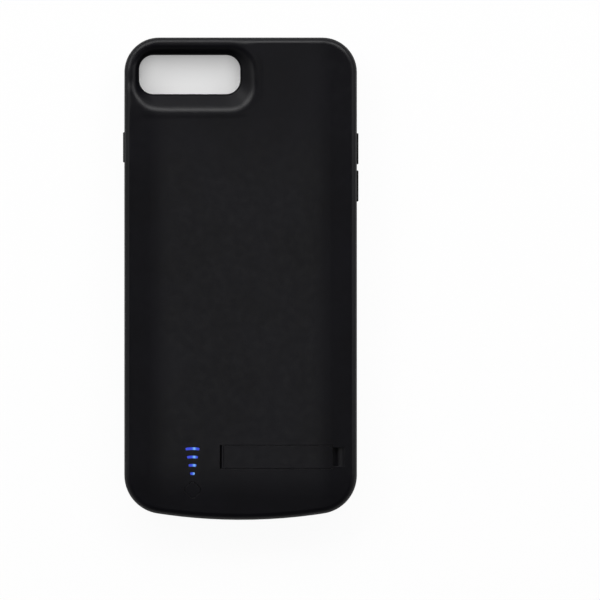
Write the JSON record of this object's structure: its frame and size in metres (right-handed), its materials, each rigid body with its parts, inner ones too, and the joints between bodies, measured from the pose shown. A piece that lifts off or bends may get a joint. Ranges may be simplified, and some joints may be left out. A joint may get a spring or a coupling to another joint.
{
  "type": "battery charging case",
  "caption": "Flat battery case for a large phone: soft bay with a plug at its foot and a crowned hard back with camera window, charge lamps, power button and fold-out kickstand.",
  "frame": {"origin": "middle of the case's footprint, at the level of the front lip that it lies on", "axes": "+X to the right as seen from behind, +Y towards the camera end, +Z out of the back"},
  "size_m": [0.0822, 0.168, 0.0156],
  "materials": {
    "shell_black": "fine satin texture",
    "frame_black": "soft matt",
    "tray_black": "matt",
    "key_black": "satin gloss",
    "lamp_blue": "lit from inside",
    "bright_steel": "satin",
    "dark_steel": "blackened",
    "contact_gold": "plated",
    "board_green": "solder mask",
    "chip_black": "matt",
    "ferrite_grey": "matt",
    "cell_silver": "foil pouch",
    "tape_amber": "film",
    "plug_white": "moulded"
  },
  "bodies": {
    "case": {"rear_shell": "shell_black", "soft_frame": "frame_black", "inner_tray": "tray_black", "kickstand_pin": "dark_steel", "light_pipe": "lamp_blue", "lamp_chips": "plug_white", "charge_socket": "bright_steel", "socket_tongue": "chip_black", "main_board": "board_green", "power_chip": "chip_black", "charge_chip": "chip_black", "boost_inductor": "ferrite_grey", "board_capacitors": "tape_amber", "switch_body": "bright_steel", "phone_plug": "bright_steel", "plug_contacts": "contact_gold", "plug_base": "plug_white", "plug_board": "board_green", "plug_flex": "tape_amber", "battery_cell": "cell_silver", "battery_tape": "tape_amber", "protection_strip": "board_green", "battery_leads": "bright_steel"},
    "kickstand": {"kickstand_leg": "shell_black"},
    "button": {"power_button": "shell_black", "switch_plunger": "chip_black"},
    "left_key": {"side_key": "key_black"},
    "up_key": {"volume_up_key": "key_black"},
    "down_key": {"volume_down_key": "key_black"}
  },
  "joints": [
    {"name": "kickstand_hinge", "type": "hinge", "parent": "case", "child": "kickstand", "pos_m": [-0.0057, -0.062, 0.0143], "axis": [0, -1, 0], "range_deg": [0, 60]},
    {"name": "button_press", "type": "slide", "parent": "case", "child": "button", "axis": [0, 0, -1], "range_m": [0, 0.0003], "stiffness_N_per_m": 1500, "springref_m": -0.0002},
    {"name": "side_key_press", "type": "slide", "parent": "case", "child": "left_key", "axis": [1, 0, 0], "range_m": [0, 0.0004], "stiffness_N_per_m": 1200, "springref_m": -0.0002},
    {"name": "volume_up_press", "type": "slide", "parent": "case", "child": "up_key", "axis": [-1, 0, 0], "range_m": [0, 0.0004], "stiffness_N_per_m": 1200, "springref_m": -0.0002},
    {"name": "volume_down_press", "type": "slide", "parent": "case", "child": "down_key", "axis": [-1, 0, 0], "range_m": [0, 0.0004], "stiffness_N_per_m": 1200, "springref_m": -0.0002}
  ]
}
